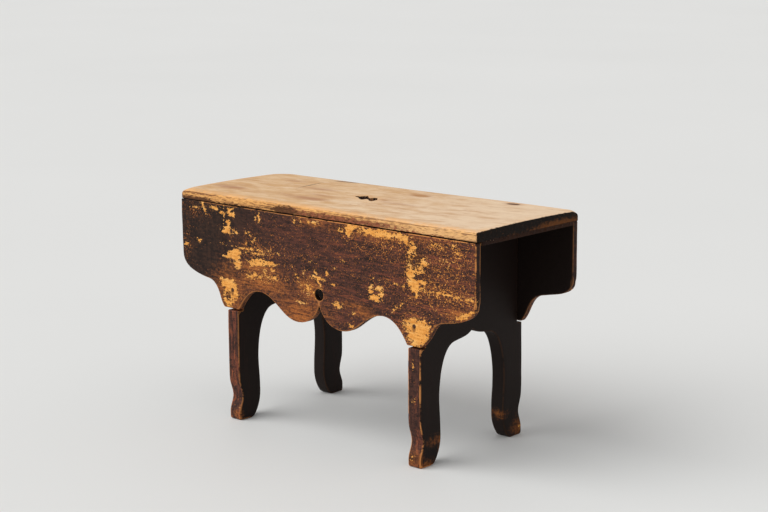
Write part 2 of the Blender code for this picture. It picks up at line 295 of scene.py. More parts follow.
class Tone:
    """One node output in a finish. Arithmetic on it adds the nodes that work it out."""

    def __init__(self, finish, socket):
        self.finish = finish
        self.socket = socket

    def maths(self, operation, *operands):
        """A Math node, or a Vector Math node where any operand is a vector."""
        vectors = any(
            isinstance(one, tuple) or isinstance(one, Tone) and one.socket.type != "VALUE"
            for one in operands
        )
        word = "Vector" if vectors else "Value"
        kind = "ShaderNodeVectorMath" if vectors else "ShaderNodeMath"
        sockets = {word + tail: operand for tail, operand in zip(("", "_001", "_002"), operands)}
        return self.finish.node(kind, {"operation": operation}, sockets)

    def __add__(self, other):
        return self.maths("ADD", self, other)

    def __radd__(self, other):
        return self.maths("ADD", other, self)

    def __sub__(self, other):
        return self.maths("SUBTRACT", self, other)

    def __rsub__(self, other):
        return self.maths("SUBTRACT", other, self)

    def __mul__(self, other):
        return self.maths("MULTIPLY", self, other)

    def __rmul__(self, other):
        return self.maths("MULTIPLY", other, self)

    def most(self, other):
        """The larger of two values."""
        return self.maths("MAXIMUM", self, other)

    def absolute(self):
        """A value, or each of a vector's values, without its sign."""
        return self.maths("ABSOLUTE", self)

    def length(self):
        """A vector's length."""
        return self.maths("LENGTH", self, (0.0, 0.0, 0.0))

    def axis(self, letter):
        """One of a vector's three values."""
        return self.finish.node("ShaderNodeSeparateXYZ", {}, {"Vector": self}, letter)

    def turned(self, middle, lean, axis):
        """Places turned by a lean about an axis through a middle."""
        about = {"Vector": self, "Center": middle, "Angle": lean}
        return self.finish.node("ShaderNodeVectorRotate", {"rotation_type": axis + "_AXIS"}, about)

    def rise(self, low, high):
        """A soft step from 0 at one value to 1 at another."""
        steps = {"Value": self, "From Min": low, "From Max": high}
        return self.finish.node("ShaderNodeMapRange", {"interpolation_type": "SMOOTHSTEP"}, steps)


class Finish:
    """A procedural finish, worked out in millimetres in the stool's own frame."""

    def __init__(self, name):
        self.material = bpy.data.materials.new(name)
        self.material.use_nodes = True
        self.tree = self.material.node_tree
        self.shader = self.tree.nodes["Principled BSDF"]
        self.place = self.node("ShaderNodeTexCoord", {}, {}, "Object") * MILLIMETRES
        self.along, self.across, self.up = (self.place.axis(letter) for letter in "XYZ")
        self.facing = self.node("ShaderNodeNewGeometry", {}, {}, "Normal")
        distance = self.node("ShaderNodeAttribute", {"attribute_name": "from_edge"}, {}, "Fac")
        self.from_edge = distance * MILLIMETRES

    def node(self, kind, settings, sockets, output=None):
        """A node with its settings and what feeds its sockets; gives one of its outputs."""
        made = self.tree.nodes.new(kind)
        for setting, value in settings.items():
            setattr(made, setting, value)
        inputs = {socket.identifier: socket for socket in made.inputs}
        for name, value in sockets.items():
            if isinstance(value, Tone):
                self.tree.links.new(value.socket, inputs[name])
            elif inputs[name].type == "VECTOR" and not isinstance(value, tuple):
                inputs[name].default_value = (value,) * 3
            elif inputs[name].type == "RGBA":
                inputs[name].default_value = (*value, 1.0)
            else:
                inputs[name].default_value = value
        outputs = [socket for socket in made.outputs if socket.enabled]
        return Tone(self, outputs[0] if output is None else made.outputs[output])

    def cloud(self, size, seed=0.0, detail=2.0, place=None, output="Fac"):
        """Mottling of one size, or of three sizes along, across and up."""
        sizes = size if isinstance(size, tuple) else (size,) * 3
        place = self.place if place is None else place
        shift = tuple(seed * step for step in SEED_STEPS)
        spread = place.maths("MULTIPLY_ADD", place, tuple(1 / s for s in sizes), shift)
        sockets = {"Vector": spread, "Scale": 1.0, "Detail": detail}
        return self.node("ShaderNodeTexNoise", {}, sockets, output)

    def ragged(self, size, reach, seed):
        """Places pushed about, so that what is drawn on them gets a ragged outline."""
        return self.place + (self.cloud(size, seed, output="Color") - (0.5, 0.5, 0.5)) * reach

    def blend(self, amount, first, second):
        """A colour between two colours."""
        sockets = {"Factor_Float": amount, "A_Color": first, "B_Color": second}
        return self.node("ShaderNodeMix", {"data_type": "RGBA"}, sockets)

    def layered(self, colour, *layers):
        """A colour with others laid over it in turn, each by its own amount."""
        for amount, shade in layers:
            colour = self.blend(amount, colour, shade)
        return colour

    def coat(self, colour, roughness, height, relief):
        """Lay on the colour, the roughness and the relief, in metres."""
        bump = self.node("ShaderNodeBump", {}, {"Height": height, "Distance": relief, "Strength": 1.0})
        for name, tone in (("Base Color", colour), ("Roughness", roughness), ("Normal", bump)):
            self.tree.links.new(tone.socket, self.shader.inputs[name])
        return self.material


def srgb(red, green, blue):
    """A colour as it is seen, given in 0 to 255, as the shader needs it."""
    shares = (red / 255, green / 255, blue / 255)
    return tuple(((share + 0.055) / 1.055) ** 2.4 if share > 0.04 else share / 12.92 for share in shares)


def inside(place, spots):
    """How far inside the nearest of some oval patches a place lies, in millimetres."""
    depth = None
    for centre, reach, *lean in spots:
        turned = place.turned(centre, math.radians(lean[0]), "Y") if lean else place
        shrink = tuple(1 / r for r in reach)
        shrunk = place.maths("MULTIPLY_ADD", turned, shrink, tuple(-c * s for c, s in zip(centre, shrink)))
        here = (1 - shrunk.length()) * min(reach)
        depth = here if depth is None else depth.most(here)
    return depth


# Near-black paint, also laid as painted shade in the aprons' bored hole and under the seam.
BLACK_PAINT_AND_SHADE = srgb(30, 22, 19)
PAINT_SMOKE = srgb(55, 38, 29)
PAINT_DARK = srgb(50, 33, 29)
PAINT_BROWN = srgb(77, 48, 40)
PAINT_RED = srgb(114, 62, 46)
PAINT_STREAK = srgb(148, 82, 52)
RUBBED_BROWN = srgb(144, 78, 42)
RUBBED_AMBER = srgb(194, 117, 52)
# Rubbed arris wood, made lighter as painted highlight.
ARRIS_RUB_AND_HIGHLIGHT = srgb(204, 136, 78)
BARE_OCHRE = srgb(238, 170, 88)
BARE_DEEP = srgb(206, 130, 52)
BARE_PALE = srgb(240, 186, 112)
NAIL_STAIN = srgb(96, 58, 34)
PAINT_SHEEN = 0.10
PAINT_RELIEF = 0.0006


def old_paint(name, along, marks, shades, seed):
    """Worn brown paint on pine: along gives the length of its brush strokes on each axis."""
    bare_spots, glow_spots, fleck_spots, speckled_spots = marks
    finish = Finish(name)
    grit = finish.cloud(1.3, seed, 1)
    speck = finish.cloud((1.8, 1.8, 1.4), seed + 6, 1)
    flake = finish.cloud((6, 6, 3.4), seed + 1, 4)
    mottle = finish.cloud((7, 7, 4), seed + 7, 5)
    strokes = finish.cloud(along, seed + 2, 4)
    hairs = finish.cloud(tuple(0.7 * length for length in along), seed + 8, 2)
    bands = finish.cloud(tuple(3.4 * length for length in along), seed + 3, 3)
    ragged = finish.ragged((11, 11, 6), (7, 7, 4), seed + 4)
    upright = finish.cloud((7, 20, 60), seed + 9, 4)
    clump = finish.cloud((3.6, 3.6, 2.2), seed + 10, 2)
    black, smoke, red, edge_rub_and_highlight, flecked, stain = shades(finish)
    bare_depth = inside(ragged, bare_spots)
    glow_depth = inside(ragged, glow_spots)
    wear = flake - 0.5 + (grit - 0.5) * 0.5
    near_edge = finish.from_edge.rise(3, 0)
    speckled = inside(ragged, speckled_spots).rise(-6, 4)
    flecks = speck - 0.5 + wear * 0.35 + bare_depth.rise(-9, 0) * 0.06 + near_edge * 0.03
    flecks = flecks + inside(ragged, fleck_spots).rise(-8, 10) * 0.19
    flecks = flecks - black.most(smoke * 0.6) * 0.2 + flecked
    left_on = (0.5 - speck - wear * 0.5).most(speckled * 0.80 - clump - wear * 0.1)
    bare = (bare_depth + wear * 12).rise(-0.3, 0.6) * left_on.rise(0.25, 0.20)
    seen = black.rise(1, 0.96)
    bare = bare.most(flecks.rise(0.29, 0.34) * (1 - speckled)) * seen
    glow = (glow_depth + wear * 20).rise(-8, 8) * (strokes * 0.5 + mottle * 0.5).rise(0.28, 0.56)
    glow = glow.most(flecks.rise(0.13, 0.24) * 0.72) * seen * (1 - speckled * 0.7)
    # Arrises rubbed to the wood and lightened with painted highlight.
    arris = (finish.cloud(24, seed + 5) + wear * 0.5).rise(0.34, 0.52) * finish.from_edge.rise(0.5, 0.1)
    browner = (strokes * 0.35 + mottle * 0.35 + grit * 0.3).rise(0.42, 0.57)
    redder = (strokes * 0.4 + bands * 0.4 + grit * 0.2).rise(0.49, 0.61) * red
    streaked = (hairs + (bands - 0.5) * 0.4).rise(0.60, 0.70) * red * 0.7
    grimy = (grit * 0.3 + mottle * 0.4 + bands * 0.3).rise(0.46, 0.37) * 0.7
    smoky = (upright * 0.5 + mottle * 0.5 + wear * 0.4).rise(0.38, 0.62)
    paint = finish.layered(
        PAINT_DARK, (browner, PAINT_BROWN), (redder, PAINT_RED), (streaked, PAINT_STREAK),
        (grimy, BLACK_PAINT_AND_SHADE), (smoke, finish.blend(smoky, BLACK_PAINT_AND_SHADE, PAINT_SMOKE)),
        (black.most(speckled * 0.75), BLACK_PAINT_AND_SHADE), (arris * edge_rub_and_highlight, ARRIS_RUB_AND_HIGHLIGHT),
    )
    fibre = strokes * 0.5 + grit * 0.5
    worn = finish.blend(fibre.rise(0.38, 0.62), RUBBED_BROWN, RUBBED_AMBER)
    wood = finish.layered(
        BARE_DEEP, (fibre.rise(0.36, 0.56), BARE_OCHRE), (bands.rise(0.50, 0.72), BARE_PALE),
        ((mottle * 0.7 + grit * 0.3).rise(0.52, 0.62) * 0.6, BARE_DEEP), (stain, NAIL_STAIN),
    )
    colour = finish.layered(paint, (glow * 0.85, worn), (bare, wood))
    roughness = 0.55 + bare * 0.16 + (grit - 0.5) * 0.3
    height = (1 - bare) * 0.5 + strokes * 0.2 + mottle * 0.2 + grit * 0.3
    finish.shader.inputs["Specular IOR Level"].default_value = PAINT_SHEEN
    return finish.coat(colour, roughness, height, PAINT_RELIEF)


# Bare, rubbed, flecked and speckled places on the legs: middle and half sizes in millimetres.
LEG_STROKES = (3.0, 3.0, 30.0)
LEG_BARE = {
    "left_leg_board": [((-166, -109, 22), (1.5, 2, 2))],
    "right_leg_board": [
        ((171, -109, 13), (3, 3, 2.5)), ((172, -108.5, 140), (0.8, 2, 2.5)),
        ((173, -108.5, 93), (1, 2, 1.5)), ((182, 106, 12), (3, 3, 4)),
    ],
}
LEG_GLOW = {
    "left_leg_board": [((-167, -109, 8), (6, 4, 4))],
    "right_leg_board": [
        ((174, -109, 10), (12, 5, 8)), ((185, -104, 3), (4, 12, 4)), ((185, -72, 33), (3, 9, 3)),
        ((185, -62, 14), (3, 4, 8)), ((174, 67, 36), (5, 4, 2)), ((185, 101, 11), (4, 8, 7)),
    ],
}
LEG_FLECKED = [((-174, -109, 30), (6, 1, 10)), ((174, -109, 22), (8, 1, 8))]
LEG_SPECKLED = [((174, -109, 13), (9, 5, 6))]


def leg_shades(finish):
    """Brown on the outer sawn edges, black everywhere else."""
    broad = finish.facing.axis("X").absolute().rise(0.3, 0.7)
    out = finish.across.absolute().rise(82, 90)
    show = finish.across.rise(-82, -90)
    right = finish.along.rise(-20, 20)
    # Arrises rubbed and lightened with painted highlight, most on the right leg's show side.
    arrises = show * (right * 0.42 + 0.36) + 0.04
    return broad.most(1 - out) * 0.975, 0.0, out * (1.7 - right * 0.75), arrises, -0.09, 0.0


for leg_name, leg_seed in (("left_leg_board", 11.0), ("right_leg_board", 23.0)):
    leg_low, leg_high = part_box(leg_name)
    leg_outline = faired(sawn_face(leg_name, LEG_AXES, 1)[0])
    scuffed = np.clip(1.5 - leg_outline[:, 1:] / LEG_TOE_HEIGHT, 0.0, 1.0)
    leg_outline = leg_outline + (eased(leg_outline, LEG_TOE_EASE) - leg_outline) * scuffed
    leg_outline = hand_sawn(leg_outline, leg_seed)
    leg_radii = LEG_ARRIS + LEG_TOE_WEAR * np.maximum(0.0, 1 - leg_outline[:, 1] / LEG_TOE_HEIGHT)
    leg_radii *= [1 + LEG_ARRIS_VARIES * ripple(spot, LEG_ARRIS_LENGTH, leg_seed) for spot in leg_outline]
    outer_face = uneven(leg_high.x, 1, leg_seed + 1)
    inner_face = uneven(leg_low.x, -1, leg_seed + 2)
    leg = Timber()
    upper, lower = leg.through(leg_outline, leg_radii, outer_face, inner_face)
    leg.cover([upper], outer_face, FACE_SPACING)
    leg.cover([lower], inner_face, FACE_SPACING)
    leg = leg.piece(leg_name + "_worn", LEG_AXES)
    leg_marks = (LEG_BARE[leg_name], LEG_GLOW[leg_name], LEG_FLECKED, LEG_SPECKLED)
    leg.data.materials.append(old_paint(leg_name + "_paint", LEG_STROKES, leg_marks, leg_shades, leg_seed))
    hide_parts(leg_name)
    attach(leg, "root")


# Aprons: two thin pine boards, fretted along the lower edge and bored with one round hole, nailed into
# the legs' notches. The show side's brown graining is blackened at the left and flaked to ochre wood.
APRON_AXES = (0, 2, 1)
APRON_ARRIS = 0.0011
APRON_ARRIS_VARIES = 0.6
APRON_ARRIS_LENGTH = 0.018
APRON_TOP_ARRIS = 0.0008
APRON_TOP_STRIP = 0.003
APRON_STROKES = (26.0, 20.0, 2.2)
HOLE_TURNS = np.linspace(0.0, 2 * math.pi, 28, endpoint=False)
BORE_WEAR = 0.0004
NAIL_POCKET = 0.0019
NAIL_POCKET_RIM = 0.0004
NAIL_POCKET_WIDEST = 0.005
APRON_NAIL_PLACE = 174
APRON_NAIL_HEIGHTS = (193.4, 236.7, 280.0)
RUST_RUN = 3
RUST_REACH = (3.4, 6, 6)
BORE = ((0, 0, 211), (9.5, 400, 9.5))
SHOW_FACE = -108.5
CHIP_THROUGH = 6.0
# Chips down to the wood on the show side: along, up, half length and half height in millimetres,
# and for some a lean in degrees.
FRONT_CHIPS = [
    (-231, 308.5, 8.5, 2.2, -54), (-208, 310, 9, 2.4), (-250, 307, 5, 1.4), (-193, 305.3, 5, 1.6),
    (-188.3, 298, 0.7, 6.5), (-178, 308.8, 3.4, 4), (-174, 312, 3.4, 1.8), (-170, 304.5, 4, 3.2),
    (-175, 305, 3.6, 2.6), (-180, 291.5, 4.2, 4.4), (-180, 285, 4, 3), (-180.5, 279.5, 12, 4.6),
    (-162, 280, 3, 2), (-137, 283, 2, 1.5), (-143, 281, 1.5, 1.5), (-133, 279, 1.2, 1),
    (-129, 269.5, 1.5, 1.3), (-124.5, 274, 1.7, 1), (-141, 266, 1.3, 1.2), (-175, 265, 1.4, 1.4),
    (-170, 244, 13, 8.5), (-163.5, 250.5, 8, 5.5), (-161, 233, 7, 7), (-187, 242, 6, 1.3),
    (-116, 242, 20, 4.4), (-130, 238, 8, 3.4), (-95, 242.5, 11, 3), (-131, 258.6, 22, 0.9),
    (-128, 253.5, 13, 0.9), (-126, 221.5, 11, 2.4), (-134, 218, 5, 1.6), (-107, 229, 2.3, 2.3),
    (-92.4, 234, 1.8, 1.6), (-87, 233.7, 1.4, 1.3), (-85.5, 223.2, 4, 2), (-98, 223, 3, 1.1),
    (-181, 201, 16, 8.5), (-177, 189, 16, 10), (-182, 177, 10, 8), (-194, 207, 4, 1.6),
    (-2, 233.5, 12, 1.8, -66), (-0.5, 234.8, 10.5, 2.4), (16, 244, 2.7, 2.4), (29.3, 228.8, 2.1, 2),
    (-26.5, 241.8, 2.1, 1.8), (45.2, 263.6, 1.5, 1.4), (30.3, 252.8, 1.3, 1.2),
    (-14.4, 256.4, 1.8, 1.1), (-18.2, 211.2, 1.9, 1.7), (-32.4, 196, 5, 1.1), (-22, 219, 2, 4.4),
    (-40, 228.6, 7.4, 0.6, -57), (-24.4, 230.7, 4.4, 0.6, -56), (35, 202.5, 7.5, 2.8),
    (38, 199.5, 3.4, 2), (65.4, 195.9, 2.6, 1.2), (61.2, 176.4, 3.6, 2.3), (98, 235.5, 4.4, 3),
    (112, 236, 7.5, 3.4), (114, 229, 4.6, 4.6), (105, 222, 10, 4.8), (98, 229.5, 3.6, 3.2),
    (107.5, 218.5, 5, 2.5), (148, 217, 8, 0.6, 35), (-124, 305.6, 2, 3.4), (-116.6, 306.6, 2.8, 6.4),
    (-46, 310, 1.8, 3.4), (-34, 310.6, 1.8, 2.8), (-6, 311.3, 5, 1.1), (-18, 311, 2, 1.5),
    (40, 308, 1.8, 2.6), (45, 307, 1.6, 2.4), (60, 311, 9, 6.5), (57.5, 305, 5.5, 5.5), (68, 314, 8, 3),
    (114, 310.5, 37, 4.8), (152, 310, 13, 4.6), (161, 307, 4.5, 5), (169.3, 306, 2.5, 1.6),
    (212, 306, 4.5, 1.7), (242, 309.8, 4, 1.7), (249, 299.8, 3, 2.4), (172, 291, 8, 13),
    (177, 274, 12, 10), (169, 264, 8, 7), (190, 281, 7, 5), (173, 251.5, 11, 7), (177, 242, 6.5, 8),
    (178, 234.5, 3, 4.5), (189, 254, 8, 2.6), (222, 243.6, 33, 0.8, -1.8), (271, 242.3, 5, 2.4),
    (180, 192, 22, 12), (180, 180, 17, 11), (179, 171, 10, 4), (260, 219.5, 17, 2.8, 24),
    (-270, 250, 4, 2.2), (-245, 258, 3.5, 1.8),
]
# Where the paint is rubbed thin, and where it is finely flecked, given the same way.
FRONT_GLOW = [
    (-112, 211, 38, 10), (-178, 189, 24, 24), (-38, 178, 38, 16), (-17, 217, 16, 11), (84, 199, 10, 5),
    (70, 205, 9, 2), (110, 309, 50, 4), (260, 220, 22, 6), (-122, 232, 28, 5), (-54, 186, 8, 6),
    (-10, 311, 14, 3),
]
FRONT_FLECKED = [
    (-110, 222, 46, 16), (-17, 217, 16, 12), (172, 285, 16, 26), (225, 285, 56, 36), (225, 245, 56, 30),
    (180, 188, 28, 22), (-130, 260, 32, 16), (120, 296, 56, 16), (-252, 300, 30, 14),
    (-268, 252, 12, 34),
]
# Where specks of paint are left on in a chip.
FRONT_SPECKLED = [(177, 282, 16, 19), (-183, 184, 9, 10), (-110, 243, 16, 2), (42, 308, 6, 4)]
REAR_CHIPS = [
    (-171, 190, 15, 11), (-176, 262, 9, 12), (176, 196, 17, 9), (170, 284, 8, 10), (60, 243, 16, 5),
    (-84, 222, 11, 4), (-20, 310, 30, 4), (214, 308, 18, 4), (-250, 226, 9, 5), (262, 222, 10, 4),
    (20, 181, 9, 3), (-128, 300, 5, 7), (118, 214, 9, 4),
]
REAR_GLOW = [
    (-172, 196, 26, 18), (174, 200, 26, 18), (0, 308, 150, 6), (48, 182, 34, 12), (-210, 250, 40, 16),
    (150, 262, 46, 12), (-40, 230, 40, 10),
]
REAR_FLECKED = [(-180, 240, 60, 50), (170, 240, 70, 50), (20, 200, 90, 25), (0, 300, 200, 20)]
REAR_SPECKLED = [(-172, 196, 18, 12), (172, 262, 16, 30), (60, 243, 12, 4)]
# Where the fretted line of each board strays from the pattern: place, shift and reach in metres.
FRONT_STRAYS = [
    ((0.1905, 0.166), (-0.0045, 0.0), 0.016), ((-0.1905, 0.166), (-0.0015, 0.0), 0.014),
    ((-0.2785, 0.29), (-0.0016, 0.0), 0.06),
]
REAR_STRAYS = [((0.236, 0.208), (0.0, 0.003), 0.03)]
END_NICK = (0.2785, 0.2325)
END_NICK_REACH = 0.005
END_NICK_DEPTH = 0.0022


def arc(centre, radius, turns):
    """Points round a centre at some turns."""
    return np.asarray(centre) + radius * np.stack([np.cos(turns), np.sin(turns)], axis=1)


def strayed(loop, strays):
    """An outline pulled off its pattern at some places."""
    for place, shift, reach in strays:
        near = np.exp(-np.sum((loop - place) ** 2, axis=1) / reach**2)
        loop = loop + near[:, None] * np.array(shift)
    return loop


def ends_black_and_painted_shade(finish):
    """Black paint on the sawn ends; painted shade in the bored hole and on the top edge under the seam."""
    ends = finish.facing.axis("X").absolute().rise(0.75, 0.95)
    bore = inside(finish.place, [BORE]).rise(0, 0.8)
    sawn = finish.facing.axis("Y").absolute().rise(0.6, 0.4)
    top = finish.facing.axis("Z").rise(0.75, 0.95) * finish.up.rise(313, 315.5)
    return (ends * 0.8).most(bore * sawn).most(top)


def nail_stain(finish):
    """Rust run into the wood round the nail heads and below them."""
    place = finish.ragged(4, 3, 35).absolute()
    runs = [((APRON_NAIL_PLACE, -SHOW_FACE, up - RUST_RUN), RUST_REACH) for up in APRON_NAIL_HEIGHTS]
    return inside(place, runs).rise(-1, 2) * 0.75


def front_shades(finish):
    """Blackened at the left end and on the hidden side, redder towards the right."""
    streaks = finish.cloud((4, 20, 60), 31, 3)
    along, up = finish.along, finish.up
    left = (up - 240) * 0.5 - along + (streaks - 0.5) * 50 + (finish.cloud(40, 32) - 0.5) * 70
    smoke = left.rise(90, 225) * 0.9
    hidden = finish.facing.axis("Y").rise(0.3, 0.7)
    top = up.rise(313, 316) * along.rise(-100, 0)
    # Arrises rubbed and lightened with painted highlight, most at the right end and along the top; none at
    # the far left or on the hidden side.
    edge_rub_and_highlight = along.rise(250, 277).most(top) * 0.45 + 0.5
    edge_rub_and_highlight = edge_rub_and_highlight * (1 - hidden) * along.rise(-262, -215)
    red = along.rise(-100, 240) * 0.68 + 0.25
    # Black on the hidden side and the ends, with painted shade in the hole and under the seam.
    return hidden.most(ends_black_and_painted_shade(finish)), smoke, red, edge_rub_and_highlight, 0.0, nail_stain(finish)


def rear_shades(finish):
    """Dark with smoke and dirt on the hidden side."""
    hidden = finish.facing.axis("Y").rise(-0.3, -0.7)
    # Black on the hidden side and the ends, with painted shade in the hole and under the seam; the arrises
    # are rubbed and lightened with painted highlight, less on the hidden side.
    return hidden.most(ends_black_and_painted_shade(finish) * 0.85), 0.0, 0.7, 0.35 - hidden * 0.25, 0.0, nail_stain(finish)


def patches(spots, level):
    """Patches on an upright face at a level."""
    return [((x, level, z), (across, CHIP_THROUGH, up), *lean) for x, z, across, up, *lean in spots]


FRONT_MARKS = (FRONT_CHIPS, FRONT_GLOW, FRONT_FLECKED, FRONT_SPECKLED)
REAR_MARKS = (REAR_CHIPS, REAR_GLOW, REAR_FLECKED, REAR_SPECKLED)
for apron_name, side, strays, marks, shades, apron_seed in (
    ("front_apron", -1, FRONT_STRAYS, FRONT_MARKS, front_shades, 41.0),
    ("rear_apron", 1, REAR_STRAYS, REAR_MARKS, rear_shades, 57.0),
):
    apron_low, apron_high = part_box(apron_name)
    outline, holes = sawn_face(apron_name, APRON_AXES, side)
    outline = hand_sawn(strayed(faired(outline), strays), apron_seed)
    nicked = END_NICK_DEPTH * np.exp(-np.sum((outline - END_NICK) ** 2, axis=1) / END_NICK_REACH**2)
    varied = [1 + APRON_ARRIS_VARIES * ripple(spot, APRON_ARRIS_LENGTH, apron_seed) for spot in outline]
    radii = APRON_ARRIS * np.array(varied) + nicked
    radii = np.where(outline[:, 1] > apron_high.z - APRON_TOP_STRIP, APRON_TOP_ARRIS, radii)
    hidden_level, show_level = (apron_low.y, apron_high.y)[::side]
    show = uneven(show_level, side, apron_seed + 1)
    hidden = uneven(hidden_level, -side, apron_seed + 2)
    bottom, top = (hidden, show)[::side]
    apron = Timber()
    upper, lower = apron.through(outline, radii, top, bottom)
    faces = {top: [upper], bottom: [lower]}
    for centre, radius in holes:
        if radius < NAIL_POCKET_WIDEST:
            loop = arc(centre, radius, HOLE_TURNS)
            faces[show].append(apron.pocket(loop, NAIL_POCKET_RIM, show, NAIL_POCKET, side))
            continue
        loop = hand_sawn(arc(centre, radius + BORE_WEAR, HOLE_TURNS), apron_seed, True)
        upper, lower = apron.through(loop, [APRON_ARRIS] * len(loop), top, bottom, True)
        faces[top].append(upper)
        faces[bottom].append(lower)
    for level, rings in faces.items():
        apron.cover(rings, level, FACE_SPACING)
    apron = apron.piece(apron_name + "_worn", APRON_AXES)
    marks = [patches(spots, SHOW_FACE * -side) for spots in marks]
    apron.data.materials.append(old_paint(apron_name + "_paint", APRON_STROKES, marks, shades, apron_seed))
    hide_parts(apron_name)
    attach(apron, "root")


# Seat board: one wide flat-sawn pine board, rebated over the aprons. Use has bared its upper face and
# its front edge; dark paint is left on its ends and above the seam. Painted shade darkens the underside
# and a band just over the seam. A knot has dropped out; its hole is painted dark as shade.
SEAT_AXES = (0, 1, 2)
SEAT_CROWN = 0.0018
SEAT_CROWN_HALF_WIDTH = 0.1035
SEAT_CORNERS = ((1, -1, 0.0035), (1, 1, 0.005), (-1, 1, 0.010), (-1, -1, 0.005))
SEAT_FRONT_ARRIS = 0.0055
SEAT_REAR_ARRIS = 0.0032
SEAT_LEFT_ARRIS = 0.0040
SEAT_RIGHT_ARRIS = 0.0012
SEAT_RIGHT_NIBBLE = 0.0006
SEAT_NIBBLE_LENGTH = 0.007
SEAT_ARRIS_VARIES = 0.25
SEAT_ARRIS_LENGTH = 0.03
SEAT_ARRIS_RUN_OUT = 0.016
SEAT_ARRIS_SHARE = 0.85
REAR_CORNER_POWER = 40
SEAT_LIP_ARRIS = 0.0007
SEAT_LIP_RUN_OUT = 0.006
SEAT_FOOT_ARRIS = 0.0008
SEAM_CLOSED = 0.0002
SEAM_OPENING = 0.0009
SEAM_OPENS_ALONG = (-0.25, -0.18)
SEAM_OPENS_ACROSS = (0.08, 0.09)
SEAT_DIP = 0.00015
SEAT_DIP_LENGTH = 0.05
SEAT_LEFT_ROLL = 0.0010
SEAT_LEFT_ROLL_WIDTH = 0.015
SEAT_REAR_ROLL = 0.0048
SEAT_REAR_ROLL_RUN = (-0.19, 0.16)
SEAT_REAR_ROLL_WIDTH = 0.014
SEAT_FACE_SPACING = 0.004
SEAM_HEIGHT = 0.317
REBATE_PLAY = 0.0003
REBATE_WIDTH = 0.01
# The corners that are worn down: place, drop and reach in metres.
SEAT_WORN_CORNERS = (
    ((-0.281, -0.1085), 0.0034, 0.024), ((-0.281, 0.1085), 0.0040, 0.034),
    ((0.281, 0.1085), 0.0060, 0.017),
)
# The dropped knot's hole: half widths at places along it, in metres.
GASH_CENTRE = (0.0, -0.007)
GASH_LEAN = math.radians(-7)
GASH_SKEW = 0.6
GASH_PLACES = (
    -0.028, -0.024, -0.019, -0.0145, -0.009, -0.0045, -0.001, 0.002, 0.005, 0.009, 0.014, 0.0175, 0.020,
)
GASH_HALF_WIDTHS = (
    0.0008, 0.0026, 0.0034, 0.0085, 0.0130, 0.0120, 0.0045, 0.0040, 0.0070, 0.0115, 0.0110, 0.0065, 0.0008,
)
GASH_RAGGED = 0.45
GASH_SPACING = 0.0011
GASH_DEPTH = 0.0058
GASH_RIM = 0.0004

seat_low, seat_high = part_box("seat_board")
apron_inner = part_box("rear_apron")[0].y - REBATE_PLAY


def seat_top(spot):
    """Height of the upper face: crowned, rolled over at the left and the rear, and worn at its corners."""
    crown = SEAT_CROWN * min(1.0, abs(spot[1]) / SEAT_CROWN_HALF_WIDTH) ** 2
    left = SEAT_LEFT_ROLL * max(0.0, 1 - (spot[0] - seat_low.x) / SEAT_LEFT_ROLL_WIDTH) ** 2
    rear_roll = np.interp(spot[0], SEAT_REAR_ROLL_RUN, (SEAT_REAR_ROLL, 0.0))
    rear = rear_roll * max(0.0, 1 - (seat_high.y - spot[1]) / SEAT_REAR_ROLL_WIDTH) ** 2
    corners = sum(
        drop * max(0.0, 1 - math.dist(spot[:2], corner) / reach) ** 2
        for corner, drop, reach in SEAT_WORN_CORNERS
    )
    dips = SEAT_DIP * (1 + ripple(spot, SEAT_DIP_LENGTH, 71.0))
    return seat_high.z - crown - max(left, rear) - corners - dips


def seat_lip(spot):
    """Height of the lower side over the aprons: the front seam has opened, except towards the left end."""
    opened = np.interp(spot[0], SEAM_OPENS_ALONG, (0.0, 1.0))
    opened *= np.interp(-spot[1], SEAM_OPENS_ACROSS, (0.0, 1.0))
    return SEAM_HEIGHT + SEAM_CLOSED + SEAM_OPENING * opened


def seat_plan():
    """Plan of the board with its corners worn round."""
    corners = []
    for start, (across, deep, radius) in zip((-90, 0, 90, 180), SEAT_CORNERS):
        centre = (across * (seat_high.x - radius), deep * (seat_high.y - radius))
        corners.append(arc(centre, radius, np.radians(np.linspace(start, start + 90, 10))))
    points = np.concatenate(corners)
    filled = []
    for one, two in zip(points, np.roll(points, -1, axis=0)):
        count = max(1, round(np.linalg.norm(two - one) / EDGE_SPACING))
        filled += [one + (two - one) * i / count for i in range(count)]
    return np.array(filled)


def gash():
    """Ragged loop of the hole, torn along the grain."""
    places = np.arange(GASH_PLACES[0], GASH_PLACES[-1], GASH_SPACING)
    widths = np.interp(places, GASH_PLACES, GASH_HALF_WIDTHS)
    front = [-w * (1 + GASH_RAGGED * ripple((p, 0.0), 0.004, 3.0)) for p, w in zip(places, widths)]
    rear = [w * (1 + GASH_RAGGED * ripple((p, 0.0), 0.003, 5.0)) for p, w in zip(places, widths)]
    loop = np.concatenate([np.stack([places, front], axis=1), np.stack([places, rear], axis=1)[::-1]])
    loop[:, 0] -= GASH_SKEW * loop[:, 1]
    cosine, sine = math.cos(GASH_LEAN), math.sin(GASH_LEAN)
    return eased(loop) @ np.array(((cosine, sine), (-sine, cosine))) + np.array(GASH_CENTRE)


